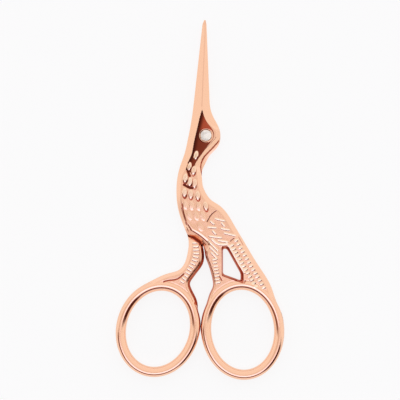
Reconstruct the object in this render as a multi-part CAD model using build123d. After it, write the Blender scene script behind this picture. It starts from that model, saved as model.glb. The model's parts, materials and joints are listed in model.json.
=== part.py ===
from build123d import *
from math import atan2, cos, degrees, dist, hypot, radians, sin
import os

# Stork embroidery scissors, lying shut on their back face with the beak towards +Y.
# All lengths are in millimetres. Everything is drawn about the eye, which is the axis that
# both halves turn on, and moved at the end so that the origin is under the middle of the pair.

# Driving dimensions
blade_length = 37.0        # eye to beak tip
eye_to_hole = 49.45        # eye to the top of the finger holes
body_width = 15.4          # breast to back, across the wing
body_thickness = 3.2       # over both halves, without the relief
handle_thickness = 3.6     # finger rings and eye rims, which carry the scissors on a table
layer_gap = 0.05           # between the two halves where they slide on each other
edge_slope = 0.8           # height and width of the sloping border along every outline

# Finger rings
front_hole_length = 25.6
back_hole_length = 24.7
hole_width = 20.1
ring_rod = 3.3             # width of the rod that makes a ring
ring_slope = 0.95          # corner cut that rounds the rod
ring_gap = 0.25            # between the two rings of the shut scissors
front_ring_lean = 5        # degrees, top of the ring towards -X
back_ring_lean = -16.7     # degrees, top of the ring towards +X
back_drop_share = 1.006    # top of the back ring's hole, of the eye-to-hole length
meeting_share = -0.112     # where the rings meet, of the body width from the eye
# Where legs, tail and shoulder run along the rings' rims and then into their rods, in degrees
# around the ring from +X
leg_rim_bearings = (144, 155)
leg_end_bearing = 165
tail_end_bearing = 5
tail_rim_bearings = (18, 30)
shoulder_rim_bearings = (134, 144)
shoulder_end_bearing = 155
knee_end_bearing = 15
knee_rim_bearings = (36,)

# Beak blades
blade_width = 5.35         # at the head
tip_shoulder_width = 1.3   # where the blade starts to round off to its tip
tip_width = 0.5
tip_taper = 1.4            # length of the rounded-off tip
tip_edge = 0.25            # height of a blade's thin side at the tip
tip_ridge = 0.5            # height of the ridge there
root_left_share = -0.765   # left side of the blade at the head, of the blade width
shoulder_left_share = -0.86
tip_left_share = -1.2
root_ridge_share = 0.53    # ridge from the left side, of the width there
tip_ridge_share = 0.8
blade_root_share = 0.234   # end of the blade at the head, of the blade length

# Where one half is as thick as the pair, it clears the other half by this much
step_clearance = 0.25

# Pivot screw and the rims around it
screw_head_diameter = 3.7
screw_head_height = 0.75
head_chamfer = 0.15
shank_diameter = 2.3
slot_width = 0.45
slot_depth = 0.3
slot_angle = 40            # degrees from +X
turning_clearance = 0.04   # radial, around the shank and the head
head_seat_gap = 0.02       # under the screw head
head_sink = 0.15           # screw head below the top of the eye rim
eye_rim = 0.5              # width of the raised rim around the eye

# Relief of the faces
relief_height = 0.15
panel_depth = 0.3          # dark panel around the eye
oval_length = 3.1
oval_width = 1.5
bar_width = 0.55
rib_width = 0.5
rib_length = 1.5
front_rib_pitch = 0.93
back_rib_pitch = 1.05
bead_diameter = 0.85
bead_pitch = 1.35
groove_width = 0.3
groove_depth = 0.15
tail_hole_corner = 0.6
overrun = 1.0              # of every cutting solid beyond what it cuts

# Heights above the table
body_bottom = (handle_thickness - body_thickness) / 2
body_top = body_bottom + body_thickness
back_layer_top = (handle_thickness - layer_gap) / 2
front_layer_bottom = back_layer_top + layer_gap
layer_thickness = body_top - front_layer_bottom
head_top = handle_thickness - head_sink
head_bottom = head_top - screw_head_height

# Outlines, as shares: across in body widths from the eye, and along in blade lengths above
# the eye and in eye-to-hole lengths below it.
breast_shares = [
    (-0.328, 0.066), (-0.383, -0.035), (-0.441, -0.113), (-0.532, -0.194), (-0.597, -0.281),
    (-0.613, -0.365), (-0.586, -0.462), (-0.503, -0.553), (-0.391, -0.639),
]
belly_shares = [(-0.391, -0.639), (-0.268, -0.661), (-0.143, -0.689), (-0.058, -0.712)]
front_leg_shares = [
    (-0.058, -0.712), (-0.015, -0.744), (0.023, -0.793), (0.083, -0.858), (0.133, -0.929),
    (0.143, -0.977), (0.087, -1.017),
]
tail_shares = [
    (1.362, -0.984), (1.077, -0.835), (0.780, -0.681), (0.590, -0.582), (0.397, -0.488),
    (0.252, -0.447), (0.106, -0.417), (-0.008, -0.369), (-0.069, -0.320), (-0.087, -0.265),
]
front_throat_shares = [
    (-0.114, -0.223), (-0.112, -0.187), (-0.046, -0.140), (0.052, -0.105), (0.148, -0.074),
    (0.231, -0.045), (0.291, -0.016),
]
back_throat_shares = [
    (-0.077, -0.226), (-0.033, -0.194), (0.081, -0.129), (0.179, -0.097), (0.260, -0.064),
    (0.297, -0.024),
]
crown_shares = [(0.299, 0.010), (0.274, 0.061), (0.191, 0.131), (0.112, 0.204)]
back_side_shares = [
    (-0.062, -0.720), (-0.008, -0.679), (0.029, -0.611), (0.029, -0.456), (-0.008, -0.391),
    (-0.075, -0.320), (-0.087, -0.265),
]
back_leg_shares = [
    (-0.364, -0.676), (-0.360, -0.718), (-0.378, -0.757), (-0.407, -0.796), (-0.457, -0.835),
    (-0.559, -0.870), (-0.736, -0.889), (-0.871, -0.902), (-1.121, -0.939),
]
back_knee_shares = [
    (-0.175, -1.087), (-0.233, -1.036), (-0.310, -0.990), (-0.345, -0.955),
    (-0.314, -0.926), (-0.200, -0.874), (-0.087, -0.821), (-0.037, -0.786), (-0.042, -0.754),
    (-0.062, -0.720),
]
# Where the front half's full thickness begins, beside the hidden side of the back half
front_step_shares = [(0.200, -0.352), (0.058, -0.456), (0.058, -0.611), (0.023, -0.683)]
# Far corners of the area where one half leaves room for the other, beyond the outlines
room_left_share = -1.2
room_right_share = 0.7
room_top_share = 0.4
tail_hole_shares = [
    (0.324, -0.716), (0.455, -0.716), (0.782, -0.890), (0.782, -0.960), (0.324, -0.909),
]
panel_left_shares = [
    (-0.079, 0.222), (-0.108, 0.184), (-0.189, 0.046), (-0.256, -0.058), (-0.304, -0.128),
    (-0.374, -0.177), (-0.416, -0.223),
]
panel_right_shares = [
    (-0.416, -0.223), (-0.310, -0.239), (-0.237, -0.194), (-0.125, -0.136), (-0.010, -0.087),
    (0.087, -0.047), (0.162, -0.009), (0.150, 0.037), (0.056, 0.093), (-0.029, 0.153),
    (-0.079, 0.222),
]
wing_groove_shares = [(0.216, -0.490), (0.121, -0.514), (0.058, -0.544), (0.031, -0.561)]

# Raised feathers: the place of each, then its lean in degrees
oval_shares = [
    (-0.208, -0.128, -14), (-0.349, -0.201, -14), (-0.254, -0.227, -10), (-0.426, -0.277, -8),
    (-0.333, -0.301, -6), (-0.235, -0.312, -4), (-0.443, -0.370, -3), (-0.316, -0.380, 0),
    (-0.170, -0.389, 4), (-0.426, -0.449, 8), (-0.299, -0.453, 8), (-0.152, -0.457, 8),
    (-0.006, -0.457, 12), (-0.343, -0.519, 20), (-0.198, -0.521, 18), (-0.064, -0.523, 18),
    (-0.116, -0.591, 20),
]
# Raised bars on the wing and thigh, from end to end
bar_shares = [
    ((0.198, -0.538), (0.378, -0.552)), ((0.102, -0.556), (0.160, -0.572)),
    ((0.328, -0.565), (0.378, -0.586)), ((0.044, -0.593), (0.204, -0.597)),
    ((0.320, -0.602), (0.474, -0.611)), ((0.387, -0.631), (0.599, -0.647)),
    ((0.146, -0.618), (0.198, -0.636)), ((0.081, -0.652), (0.314, -0.661)),
    ((0.262, -0.679), (0.445, -0.688)), ((0.058, -0.686), (0.247, -0.744)),
    ((0.089, -0.723), (0.241, -0.770)), ((0.116, -0.758), (0.225, -0.796)),
]
front_rib_shares = [(0.177, -0.802), (0.249, -0.951)]
back_rib_shares = [
    (-0.216, -0.725), (-0.204, -0.757), (-0.225, -0.796), (-0.310, -0.851), (-0.407, -0.903),
    (-0.495, -0.945),
]
bead_shares = [((0.536, -0.710), (0.927, -0.922)), ((0.626, -0.679), (1.198, -0.984))]


def spot(across_share, along_share):
    """Place on the plan of a point given in shares."""
    reach = blade_length if along_share > 0 else eye_to_hole
    return (across_share * body_width, along_share * reach)


def spots(shares):
    return [spot(*share) for share in shares]


def half_spans(length, width, lean):
    """Half of the width and of the height that a leaning ellipse takes up."""
    turn = radians(lean)
    across = hypot(length / 2 * sin(turn), width / 2 * cos(turn))
    along = hypot(length / 2 * cos(turn), width / 2 * sin(turn))
    return across, along


def place_ring(hole_length, lean, drop_share, side):
    """Centre, hole length and lean of a ring, which stands against the other ring."""
    outer_across = half_spans(hole_length + 2 * ring_rod, hole_width + 2 * ring_rod, lean)[0]
    hole_along = half_spans(hole_length, hole_width, lean)[1]
    x = meeting_share * body_width + side * (ring_gap / 2 + outer_across)
    y = -drop_share * eye_to_hole - hole_along
    return x, y, hole_length, lean


front_ring = place_ring(front_hole_length, front_ring_lean, 1, 1)
back_ring = place_ring(back_hole_length, back_ring_lean, back_drop_share, -1)
blade_root = blade_root_share * blade_length
root_left = root_left_share * blade_width
root_right = root_left + blade_width


def ring_oval(ring, growth):
    """Face of a ring's hole, grown outwards."""
    x, y, hole_length, lean = ring
    return Pos(x, y) * Rot(0, 0, lean) * Ellipse(hole_width / 2 + growth, hole_length / 2 + growth)


def ring_point(ring, bearing, growth):
    """Point on an oval around a ring's hole, by its angle from +X before the ring leans."""
    x, y, hole_length, lean = ring
    turn = radians(lean)
    across = (hole_width / 2 + growth) * cos(radians(bearing))
    along = (hole_length / 2 + growth) * sin(radians(bearing))
    return (x + across * cos(turn) - along * sin(turn), y + across * sin(turn) + along * cos(turn))


def rod_point(ring, bearing):
    """Point on the middle line of a ring's rod."""
    return ring_point(ring, bearing, ring_rod / 2)


def rim_points(ring, bearings):
    """Points on a ring's outer rim."""
    return [ring_point(ring, bearing, ring_rod) for bearing in bearings]


def prism(face, low, high):
    """Solid over a plan face, between two heights."""
    return Pos(0, 0, low) * extrude(face, high - low, dir=(0, 0, 1))


def front_plan():
    """Head, neck, wing, tail and right leg, down to the middle of the ring's rod."""
    leg_end = rod_point(front_ring, leg_end_bearing)
    tail_end = rod_point(front_ring, tail_end_bearing)
    leg_line = spots(front_leg_shares) + rim_points(front_ring, leg_rim_bearings)
    back_line = rim_points(front_ring, tail_rim_bearings) + spots(tail_shares)
    back_line += spots(front_throat_shares) + spots(crown_shares)
    return make_face([
        Spline((root_left, blade_root), *spots(breast_shares)),
        Spline(*spots(belly_shares)),
        Spline(*leg_line, leg_end),
        Line(leg_end, tail_end),
        Spline(tail_end, *back_line, (root_right, blade_root)),
        Line((root_right, blade_root), (root_left, blade_root)),
    ])


def back_plan():
    """Head, neck, the body behind the wing and the left leg, down to the ring's rod."""
    shoulder_end = rod_point(back_ring, shoulder_end_bearing)
    knee_end = rod_point(back_ring, knee_end_bearing)
    front_line = spots(breast_shares) + spots(back_leg_shares)
    front_line += rim_points(back_ring, shoulder_rim_bearings)
    knee_line = rim_points(back_ring, knee_rim_bearings) + spots(back_knee_shares)
    back_line = spots(back_side_shares) + spots(back_throat_shares) + spots(crown_shares)
    return make_face([
        Spline((root_left, blade_root), *front_line, shoulder_end),
        Line(shoulder_end, knee_end),
        Spline(knee_end, *knee_line),
        Spline(*back_line, (root_right, blade_root)),
        Line((root_right, blade_root), (root_left, blade_root)),
    ])


def sloped_plate(plan):
    """Plan face at the pair's full thickness, with a sloping border on both faces."""
    plate = prism(plan, body_bottom, body_top)
    rims = plate.edges().filter_by_position(Axis.Z, body_top, body_top)
    rims += plate.edges().filter_by_position(Axis.Z, body_bottom, body_bottom)
    sloped = [edge for edge in rims if edge.center().Y < blade_root - edge_slope]
    return chamfer(sloped, edge_slope)


def finger_ring(ring):
    """Rod ring as thick as the handles, with its corners cut."""
    rod = prism(ring_oval(ring, ring_rod) - ring_oval(ring, 0), 0, handle_thickness)
    rims = rod.edges().filter_by_position(Axis.Z, 0, 0)
    rims += rod.edges().filter_by_position(Axis.Z, handle_thickness, handle_thickness)
    return chamfer(rims, ring_slope)


def blade(flat, rise):
    """Beak blade from its flat inner face, rising by +1 upwards or -1 downwards to a ridge."""
    stations = [
        (blade_root, root_left, blade_width, root_ridge_share,
         layer_thickness - edge_slope, layer_thickness),
        (blade_length - tip_taper, shoulder_left_share * tip_shoulder_width, tip_shoulder_width,
         tip_ridge_share, tip_edge, tip_ridge),
        (blade_length, tip_left_share * tip_width, tip_width, tip_ridge_share,
         tip_edge / 2, tip_ridge / 2),
    ]
    sections = []
    for y, left, width, ridge_share, edge, ridge in stations:
        sections.append(make_face(Polyline(
            (left, y, flat), (left + width, y, flat), (left + width, y, flat + rise * edge),
            (left + ridge_share * width, y, flat + rise * ridge),
            (left, y, flat + rise * edge), close=True)))
    return loft(sections, ruled=True)


def front_room():
    """Plan of the back half's layer that the front half leaves free, left of its step."""
    left = room_left_share * body_width
    right = room_right_share * body_width
    top = room_top_share * blade_length
    leg_left, leg_top = spot(*front_leg_shares[0])
    corners = [
        (right, top), (right, spot(*front_step_shares[0])[1]), *spots(front_step_shares),
        (leg_left + edge_slope / 2, leg_top - edge_slope / 2), (left, leg_top - edge_slope / 2),
        (left, top),
    ]
    return make_face(Polyline(*corners, close=True))


def back_room():
    """Plan of the front half's layer that the back half leaves free, above the belly line."""
    left = room_left_share * body_width
    right = room_right_share * body_width
    top = room_top_share * blade_length
    belly = [(x, y - step_clearance) for x, y in spots(belly_shares)]
    corners = [(right, top), (right, belly[-1][1]), *reversed(belly), (left, belly[0][1]),
               (left, top)]
    return make_face(Polyline(*corners, close=True))


def tail_hole():
    """Three-cornered opening between tail and leg."""
    face = make_face(Polyline(*spots(tail_hole_shares), close=True))
    return fillet(face.vertices(), tail_hole_corner)


def panel():
    """Sunk face around the eye, running down the neck in a tail."""
    return make_face([Spline(*spots(panel_left_shares)), Spline(*spots(panel_right_shares))])


def strip(start, end, length, width):
    """Bar face of a given length, on the middle of the line between two places."""
    halfway = ((start[0] + end[0]) / 2, (start[1] + end[1]) / 2)
    turn = degrees(atan2(end[1] - start[1], end[0] - start[0]))
    return Pos(*halfway) * Rot(0, 0, turn) * Rectangle(length, width)


def along(path, pitch):
    """Places at an even pitch along a line, each with the direction of the line there."""
    count = max(2, round(path.length / pitch) + 1)
    shares = [index / (count - 1) for index in range(count)]
    return [(path.position_at(share), path.tangent_at(share)) for share in shares]


def feathers():
    faces = []
    for across_share, along_share, lean in oval_shares:
        centre = spot(across_share, along_share)
        faces.append(Pos(*centre) * Rot(0, 0, lean) * Ellipse(oval_width / 2, oval_length / 2))
    return faces


def bars():
    ends = [spots(pair) for pair in bar_shares]
    return [strip(start, end, dist(start, end), bar_width) for start, end in ends]


def ribs(shares, pitch):
    """Bars across a leg, one above the other."""
    faces = []
    for place, tangent in along(Spline(*spots(shares)), pitch):
        turn = degrees(atan2(tangent.Y, tangent.X))
        faces.append(Pos(place.X, place.Y) * Rot(0, 0, turn) * Rectangle(rib_width, rib_length))
    return faces


def beads():
    """Two rows of beads down the tail."""
    faces = []
    for pair in bead_shares:
        for place, tangent in along(Line(*spots(pair)), bead_pitch):
            faces.append(Pos(place.X, place.Y) * Circle(bead_diameter / 2))
    return faces


def raised_front(faces):
    """Relief on the front face."""
    low = (front_layer_bottom + body_top) / 2
    return [prism(face, low, body_top + relief_height) for face in faces]


def raised_back(faces):
    """Relief on the back face."""
    high = (back_layer_top + body_bottom) / 2
    return [prism(face, body_bottom - relief_height, high) for face in faces]


def behind_free(faces):
    """Those of the faces that lie wholly where the front half has its full thickness."""
    step = spot(*front_step_shares[1])[0] + step_clearance
    return [face for face in faces if face.bounding_box().min.X > step]


def round_bar(radius, low, high):
    return prism(Circle(radius), low, high)


def front_half():
    """Front blade, head, wing, tail, right leg and right ring."""
    rim_radius = screw_head_diameter / 2 + turning_clearance
    floor = body_top - panel_depth
    groove = trace(Spline(*spots(wing_groove_shares)), groove_width)
    carved = [*feathers(), *bars(), *ribs(front_rib_shares, front_rib_pitch), *beads()]
    carved_behind = [*bars(), *ribs(front_rib_shares, front_rib_pitch), *beads()]
    body = sloped_plate(front_plan())
    body -= prism(front_room(), -overrun, front_layer_bottom)
    body -= prism(ring_oval(front_ring, 0), -overrun, handle_thickness + overrun)
    body -= prism(tail_hole(), -overrun, handle_thickness + overrun)
    body += [finger_ring(front_ring), blade(front_layer_bottom, 1)]
    body -= [prism(panel(), floor, handle_thickness + overrun),
             prism(groove, body_top - groove_depth, body_top + overrun)]
    body += [*raised_front(carved), *raised_back(behind_free(carved_behind)),
             round_bar(rim_radius + eye_rim, front_layer_bottom, handle_thickness)]
    body -= [round_bar(rim_radius, head_bottom - head_seat_gap, handle_thickness + overrun),
             round_bar(shank_diameter / 2 + turning_clearance, -overrun, handle_thickness)]
    return body


def back_half():
    """Back blade, head, the body behind the wing, left leg and left ring."""
    rim_radius = screw_head_diameter / 2 + turning_clearance
    floor = body_bottom + panel_depth
    leg_ribs = ribs(back_rib_shares, back_rib_pitch)
    body = sloped_plate(back_plan())
    body -= prism(back_room(), back_layer_top, handle_thickness + overrun)
    body -= prism(ring_oval(back_ring, 0), -overrun, handle_thickness + overrun)
    body += [finger_ring(back_ring), blade(back_layer_top, -1)]
    body -= prism(panel(), -overrun, floor)
    body += [*raised_front(leg_ribs), *raised_back([*feathers(), *leg_ribs]),
             round_bar(rim_radius + eye_rim, 0, back_layer_top)]
    body -= [round_bar(rim_radius, -overrun, floor),
             round_bar(shank_diameter / 2, -overrun, handle_thickness)]
    return body


def pivot_screw():
    """Slotted screw, which is the bird's eye: free in the front half, tight in the back half."""
    head = round_bar(screw_head_diameter / 2, head_bottom, head_top)
    head = chamfer(head.edges().filter_by_position(Axis.Z, head_top, head_top), head_chamfer)
    slot = Rot(0, 0, slot_angle) * Rectangle(screw_head_diameter + 2 * overrun, slot_width)
    shank = round_bar(shank_diameter / 2, body_bottom, head_bottom)
    return head - prism(slot, head_top - slot_depth, head_top + overrun) + shank


def middle_of(solids):
    """Shift that brings the middle of all solids over the origin."""
    box = Compound(children=[Part() + solid for solid in solids]).bounding_box()
    return Pos(-(box.min.X + box.max.X) / 2, -(box.min.Y + box.max.Y) / 2)


nodes = {"front_half": front_half(), "back_half": back_half(), "pivot_screw": pivot_screw()}
shift = middle_of(nodes.values())
print("pivot axis at", tuple(round(value, 3) for value in shift.position))
os.makedirs("parts", exist_ok=True)
for name, solid in nodes.items():
    export_step(shift * solid, f"parts/{name}.step")
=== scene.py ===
import json
import math

import bpy
import numpy as np
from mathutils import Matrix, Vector
from mathutils.geometry import delaunay_2d_cdt
from mathutils.kdtree import KDTree


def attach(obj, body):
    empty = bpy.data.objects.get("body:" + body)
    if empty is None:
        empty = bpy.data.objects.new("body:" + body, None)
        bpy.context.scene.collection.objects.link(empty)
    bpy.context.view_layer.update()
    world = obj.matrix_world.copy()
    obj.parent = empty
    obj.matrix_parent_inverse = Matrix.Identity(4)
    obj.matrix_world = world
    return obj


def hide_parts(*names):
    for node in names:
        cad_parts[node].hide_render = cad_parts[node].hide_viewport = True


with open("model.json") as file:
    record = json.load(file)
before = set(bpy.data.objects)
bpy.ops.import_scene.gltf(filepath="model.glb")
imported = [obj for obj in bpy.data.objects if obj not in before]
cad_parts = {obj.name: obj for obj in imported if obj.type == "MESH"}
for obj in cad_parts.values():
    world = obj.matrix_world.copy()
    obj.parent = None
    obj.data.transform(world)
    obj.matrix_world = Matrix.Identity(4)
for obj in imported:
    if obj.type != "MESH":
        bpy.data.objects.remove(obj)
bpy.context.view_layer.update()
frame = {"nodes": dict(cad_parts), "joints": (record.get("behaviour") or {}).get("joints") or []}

# Stork embroidery scissors. Each half is one closed skin: an upper and a lower sheet of small
# triangles over the same plan, joined by side walls. Plans and heights are in millimetres about
# the eye, which is the pivot axis, and the finished meshes are moved there in metres.

MM = 0.001
PIVOT = Vector(frame["joints"][0]["pos_m"])

# Sizes that follow the CAD model
BLADE_LENGTH = 37.0
EYE_TO_HOLE = 49.45
BODY_WIDTH = 15.4
THICKNESS = 3.6
BODY_TOP = 3.4
FRONT_BOTTOM = 1.825
BACK_TOP = 1.775
HOLE_WIDTH = 20.1
RING_ROD = 3.29
RING_GAP = 0.25
MEETING_SHARE = -0.112
FRONT_HOLE_LENGTH = 25.6
BACK_HOLE_LENGTH = 24.7
FRONT_RING_LEAN = 5        # degrees, top of the ring towards -X
BACK_RING_LEAN = -16.7
BACK_DROP_SHARE = 1.006    # top of the back ring's hole, of the eye-to-hole length
BLADE_ROOT = 8.658
ROOT_SIDES = (-4.093, 1.257)
SHOULDER_Y = 35.6
SHOULDER_SIDES = (-1.118, 0.182)
TIP_SIDES = (-0.6, -0.1)
TIP_RIDGE = 0.5            # height of the ridge at the tip
TIP_RIDGE_SHARE = 0.8      # place of the ridge from the left side, of the width there
ROOT_RIDGE_SHARE = 0.53
SHANK_RADIUS = 1.15
TURNING_CLEARANCE = 0.04
RIM_INNER = 1.89
RIM_OUTER = 2.39
POCKET_FLOOR = 2.68
BACK_POCKET_FLOOR = 3.1
STEP_CLEARANCE = 0.25
STEP_EDGE = 0.4
FAR = 40                   # beyond every outline

# Outlines, as shares: across in body widths from the eye, and along in blade lengths above
# the eye and in eye-to-hole lengths below it.
BREAST = [
    (-0.328, 0.066), (-0.383, -0.035), (-0.441, -0.113), (-0.532, -0.194), (-0.597, -0.281),
    (-0.613, -0.365), (-0.586, -0.462), (-0.503, -0.553), (-0.391, -0.639),
]
BELLY = [BREAST[-1], (-0.268, -0.661), (-0.143, -0.689), (-0.058, -0.712)]
FRONT_LEG = [
    BELLY[-1], (-0.031, -0.744), (-0.010, -0.785), (0.030, -0.822), (0.083, -0.868),
    (0.133, -0.929), (0.143, -0.977), (0.087, -1.017),
]
TAIL = [
    (1.362, -0.984), (1.077, -0.835), (0.780, -0.681), (0.590, -0.582), (0.397, -0.488),
    (0.252, -0.447), (0.106, -0.417), (-0.008, -0.369), (-0.069, -0.320), (-0.087, -0.265),
]
FRONT_THROAT = [
    (-0.114, -0.223), (-0.112, -0.187), (-0.046, -0.140), (0.052, -0.105), (0.148, -0.074),
    (0.231, -0.045), (0.291, -0.016),
]
BACK_THROAT = [
    (-0.077, -0.226), (-0.033, -0.194), (0.081, -0.129), (0.179, -0.097), (0.260, -0.064),
    (0.297, -0.024),
]
CROWN = [(0.299, 0.010), (0.274, 0.061), (0.191, 0.131), (0.112, 0.204)]
BACK_SIDE = [
    (-0.062, -0.720), (-0.008, -0.679), (0.029, -0.611), (0.029, -0.456), (-0.008, -0.391),
    (-0.075, -0.320), TAIL[-1],
]
BACK_LEG = [
    (-0.364, -0.676), (-0.360, -0.718), (-0.378, -0.757), (-0.407, -0.796), (-0.457, -0.835),
    (-0.559, -0.870), (-0.736, -0.889), (-0.871, -0.902), (-1.121, -0.939),
]
BACK_KNEE = [
    (-0.175, -1.087), (-0.233, -1.036), (-0.306, -0.990), (-0.330, -0.957), (-0.286, -0.930),
    (-0.166, -0.880), (-0.058, -0.826), (-0.037, -0.786), (-0.042, -0.754), BACK_SIDE[0],
]
FRONT_STEP = [(0.200, -0.352), (0.058, -0.456), (0.058, -0.611), (0.023, -0.683)]
TAIL_HOLE = [
    (0.324, -0.716), (0.455, -0.716), (0.782, -0.890), (0.782, -0.960), (0.324, -0.909),
]
THROUGH_HOLE = [
    (0.356, -0.734), (0.434, -0.734), (0.718, -0.893), (0.722, -0.938), (0.356, -0.897),
]
PANEL_LEFT = [
    (-0.079, 0.222), (-0.108, 0.184), (-0.189, 0.046), (-0.256, -0.058), (-0.304, -0.128),
    (-0.374, -0.177), (-0.416, -0.223),
]
PANEL_RIGHT = [
    PANEL_LEFT[-1], (-0.310, -0.239), (-0.237, -0.194), (-0.125, -0.136), (-0.010, -0.087),
    (0.087, -0.047), (0.162, -0.009), (0.150, 0.037), (0.056, 0.093), (-0.029, 0.153),
    PANEL_LEFT[0],
]
WING_GROOVE = [(0.216, -0.490), (0.121, -0.514), (0.058, -0.544), (0.031, -0.561)]

# Raised feathers: the place of each, its lean in degrees, its rise and the painted shade of its recess,
# a crescent beside it towards the lower right
OVALS = [
    (-0.208, -0.128, -14, 0.20, 0.0), (-0.349, -0.201, -14, 0.20, 0.7),
    (-0.254, -0.227, -10, 0.16, 0.25), (-0.426, -0.277, -8, 0.20, 0.8),
    (-0.333, -0.301, -6, 0.20, 0.8), (-0.235, -0.312, -4, 0.13, 0.2),
    (-0.443, -0.370, -3, 0.17, 0.7), (-0.316, -0.380, 0, 0.13, 0.3),
    (-0.170, -0.389, 4, 0.14, 0.4), (-0.426, -0.449, 8, 0.08, 0.05),
    (-0.299, -0.453, 8, 0.08, 0.05), (-0.152, -0.457, 8, 0.08, 0.05),
    (-0.006, -0.457, 12, 0.13, 0.4), (-0.343, -0.519, 20, 0.06, 0.03),
    (-0.198, -0.521, 18, 0.06, 0.03), (-0.064, -0.523, 18, 0.06, 0.03),
    (-0.116, -0.591, 20, 0.05, 0.03),
]
# Raised bars on the wing and thigh, from end to end
BARS = [
    ((0.198, -0.538), (0.378, -0.552)), ((0.102, -0.556), (0.160, -0.572)),
    ((0.328, -0.565), (0.378, -0.586)), ((0.044, -0.593), (0.204, -0.597)),
    ((0.320, -0.602), (0.474, -0.611)), ((0.387, -0.631), (0.599, -0.647)),
    ((0.146, -0.618), (0.198, -0.636)), ((0.081, -0.652), (0.314, -0.661)),
    ((0.262, -0.679), (0.445, -0.688)), ((0.058, -0.686), (0.247, -0.744)),
    ((0.089, -0.723), (0.241, -0.770)), ((0.116, -0.758), (0.225, -0.796)),
]
FRONT_RIBS = [(0.177, -0.802), (0.249, -0.951)]
BACK_RIBS = [
    (-0.216, -0.694), (-0.210, -0.725), (-0.204, -0.757), (-0.225, -0.796), (-0.310, -0.851),
    (-0.407, -0.903), (-0.495, -0.945),
]
BEADS = [((0.536, -0.710), (1.031, -0.978)), ((0.626, -0.679), (1.198, -0.984))]
# Raised lines over the tail hole and along its right side
CRESTS = [
    [(0.131, -0.672), (0.200, -0.692), (0.277, -0.704), (0.439, -0.701)],
    [(0.478, -0.712), (0.632, -0.798), (0.795, -0.885)],
]
# Cut lines: places, width, depth and painted shade; the shallow wide ones are patches of painted shadow
# between feathers
CUTS = [
    (WING_GROOVE, 0.5, 0.12, 0.12),
    ([(-0.497, -0.443), (-0.476, -0.488), (-0.435, -0.534), (-0.393, -0.576)], 0.45, 0.09, 0.2),
    ([(-0.880, -0.948), (-0.798, -0.940), (-0.715, -0.937), (-0.590, -0.929), (-0.507, -0.911),
      (-0.455, -0.896)], 0.5, 0.1, 0.3),
    ([(-0.378, -0.232), (-0.337, -0.262)], 0.95, 0.03, 0.8),
    ([(-0.457, -0.319), (-0.393, -0.330), (-0.341, -0.339), (-0.279, -0.340)], 0.9, 0.03, 0.85),
    ([(0.590, -0.665), (0.511, -0.686)], 0.4, 0.09, 0.12),
    ([(0.678, -0.657), (0.771, -0.709)], 0.35, 0.05, 0.15),
    ([(0.283, -0.916), (0.324, -0.938)], 0.5, 0.09, 0.2),
    ([(0.792, -0.955), (0.823, -0.942)], 0.45, 0.09, 0.2),
]

# Corners and blends of the outlines
TIP_CORNER = (0.12, 0.15)  # cut off the tip, across and along
BLEND_HEIGHTS = (18.0, 13.0)
CORNER_SHARE = 0.45        # the most of a side that one rounded corner takes
CORNER_POINTS = 5
HOLE_TOP_CORNER = 0.6
HOLE_CORNER = 0.7
RIDGE_END = 0.6            # of the straight ridge, above the blade's root

# Relief
OVAL_SIZE = (3.1, 1.55)    # length and width
# Painted highlight on a feather's raised top, for each millimetre of rise
OVAL_LIGHT = 3.2           # for each millimetre of rise
# Shift of the painted shade that lies beside each feather, towards the lower right
RECESS_SHIFT = (0.08, -0.32)
BAR_WIDTH = 0.7
BAR_RISE = 0.1
CREST_WIDTH = 0.85
CREST_RISE = 0.09
FRONT_RIB_LENGTHS = (1.0, 1.1)
BACK_RIB_LENGTHS = (1.6, 1.0)
FRONT_RIB_PITCH = 1.07
BACK_RIB_PITCH = 1.09
BEAD_SIZE = (1.0, 1.6)
BEAD_LEAN = 25
BEAD_PITCH = 1.3
# Width, depth and painted shade of the shallow cut along the blade's ridge
RIDGE_CUT = (0.35, 0.02, 0.07)
LINE_STEP = 0.8            # between the points of a crest or a cut line
RELIEF_EDGE = (0.3, 0.9)   # from the outline, over which the relief starts
TOP_ROOM = 0.04            # below the full thickness, which the relief never passes
TOP_BLEND = 0.06
PANEL_DEPTH = 0.56         # at its left side
PANEL_RISE = 0.14          # of its floor, for each millimetre to the right
PANEL_BEND = 0.0085
PANEL_WIDTH = 6
HOLE_TOP_DEPTH = 0.1
HOLE_DRAFT = 0.8
EYE_RIM_FOOT = 0.3         # below the body's top
EYE_RIM_HEIGHT = 0.45

# Fades of the painted highlight on raised tops and of the painted shade in cuts and beside feathers, by
# the square of the share of the way to a shape's edge
OVAL_TOP = (1.0, 0.8)
BAR_TOP = (1.0, 0.5)
CUT_FLOOR = (1.0, 0.3)
RECESS_END = (1.3, 1.0)
RECESS_START = (0.95, 1.05)

# Painted shade and shadow on what lies deep or hidden, a painted dark reflection on the panel, and the
# distances over which each fades in: the walls' are shares of their width
WALL_DARK, WALL_FADE = 0.18, (1.0, 0.7)
ROD_WALL_WIDTH = 0.45
BELLY_DARK, BELLY_FADE = 0.11, (1.9, 1.6)
CONTACT_DARK, CONTACT_FADE = 0.8, (0.45, 0.2)
HOLE_DARK = 0.2
THROAT_DARK, THROAT_FADE = 0.7, (0.34, 0.12)
THROAT_DARK_DEPTHS = (1.3, 2.4, 14)
# Painted dark reflection on the sunk panel, by how far right and how high it lies
PANEL_DARK = 0.9           # at its left side
PANEL_DARK_RIGHT = (0.72, 0.24)      # low and high on its right side
PANEL_DARK_HEIGHTS = (0.5, 3.0)
PANEL_FADE = (0.25, 1.6, 0.8)        # start, end, and how much farther it ends above
PANEL_LIGHT = (0.12, 0.0)  # of a feather in the panel, over which it clears the dark

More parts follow.
